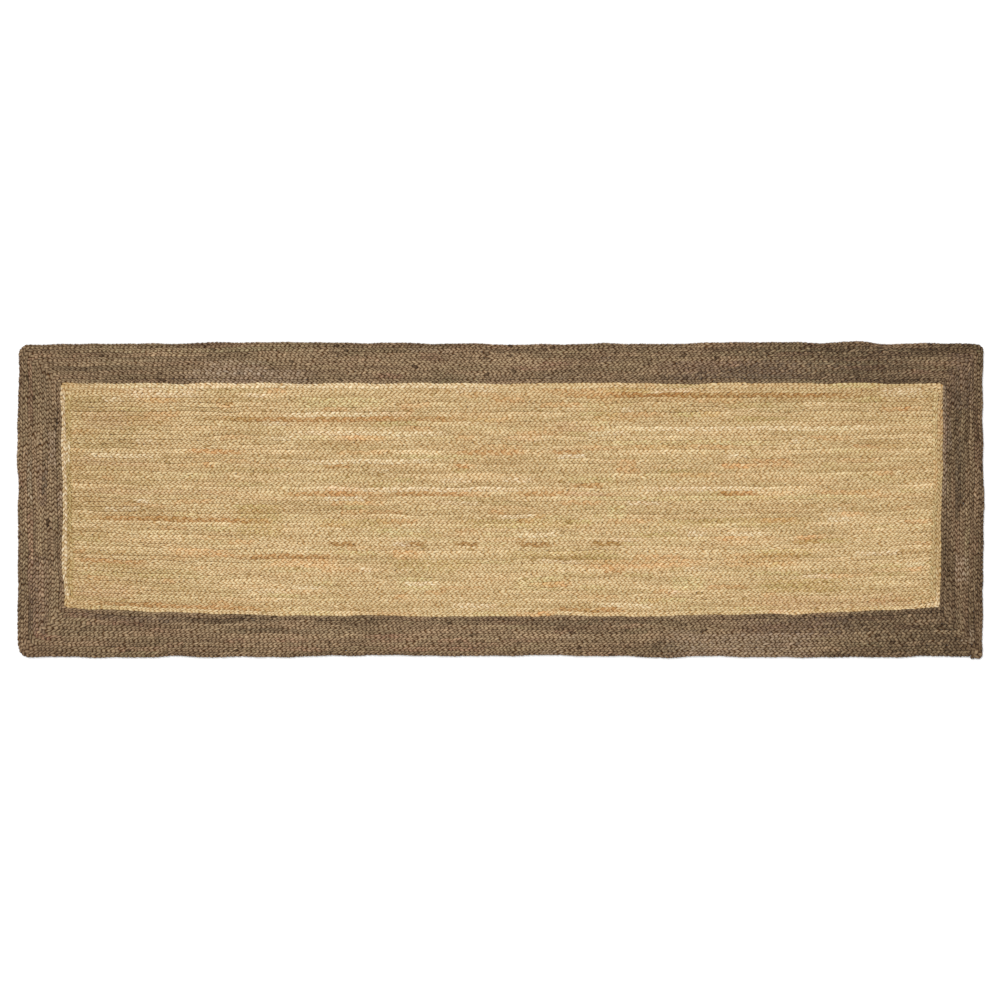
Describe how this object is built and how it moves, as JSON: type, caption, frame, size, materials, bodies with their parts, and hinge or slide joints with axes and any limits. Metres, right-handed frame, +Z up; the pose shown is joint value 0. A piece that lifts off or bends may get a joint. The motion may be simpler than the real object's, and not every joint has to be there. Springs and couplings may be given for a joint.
{
  "type": "runner rug",
  "caption": "Long flat runner rug of hand-braided jute: straight natural braids sewn side by side as a tan field, with a border of grey-brown braids running round it.",
  "frame": {"origin": "under the middle of the rug's bounding box, on the floor that it lies on", "axes": "+X along the rug's length, +Y across its width, +Z up out of its upper side; the open end of the outermost braid is at +X, -Y"},
  "size_m": [1.8314, 0.5992, 0.007],
  "materials": {
    "natural_jute": "matt undyed jute fibre, braided, with golden, rust and greenish streaks",
    "brown_jute": "matt grey-brown dyed jute fibre, braided, with mauve and olive patches",
    "natural_thread": "matt twisted natural sewing twine",
    "brown_thread": "matt twisted dark brown sewing twine"
  },
  "bodies": {
    "root": {"field_braid_01": "natural_jute", "field_braid_02": "natural_jute", "field_braid_03": "natural_jute", "field_braid_04": "natural_jute", "field_braid_05": "natural_jute", "field_braid_06": "natural_jute", "field_braid_07": "natural_jute", "field_braid_08": "natural_jute", "field_braid_09": "natural_jute", "field_braid_10": "natural_jute", "field_braid_11": "natural_jute", "field_braid_12": "natural_jute", "field_braid_13": "natural_jute", "field_braid_14": "natural_jute", "field_braid_15": "natural_jute", "field_braid_16": "natural_jute", "field_braid_17": "natural_jute", "field_braid_18": "natural_jute", "field_braid_19": "natural_jute", "field_braid_20": "natural_jute", "field_braid_21": "natural_jute", "field_braid_22": "natural_jute", "field_braid_23": "natural_jute", "field_braid_24": "natural_jute", "field_braid_25": "natural_jute", "field_braid_26": "natural_jute", "field_braid_27": "natural_jute", "field_braid_28": "natural_jute", "field_braid_29": "natural_jute", "field_braid_30": "natural_jute", "field_braid_31": "natural_jute", "field_braid_32": "natural_jute", "field_braid_33": "natural_jute", "field_braid_34": "natural_jute", "field_braid_35": "natural_jute", "field_braid_36": "natural_jute", "field_braid_37": "natural_jute", "field_braid_38": "natural_jute", "field_braid_39": "natural_jute", "field_braid_40": "natural_jute", "field_braid_41": "natural_jute", "field_braid_42": "natural_jute", "field_braid_43": "natural_jute", "field_braid_44": "natural_jute", "field_braid_45": "natural_jute", "field_braid_46": "natural_jute", "field_braid_47": "natural_jute", "edging_braid_1": "natural_jute", "edging_braid_2": "natural_jute", "border_braid_1": "brown_jute", "border_braid_2": "brown_jute", "border_braid_3": "brown_jute", "border_braid_4": "brown_jute", "border_braid_5": "brown_jute", "border_braid_6": "brown_jute", "border_braid_7": "brown_jute", "border_braid_8": "brown_jute", "border_braid_9": "brown_jute", "field_lacing_thread": "natural_thread", "border_lacing_thread": "brown_thread"}
  },
  "joints": []
}
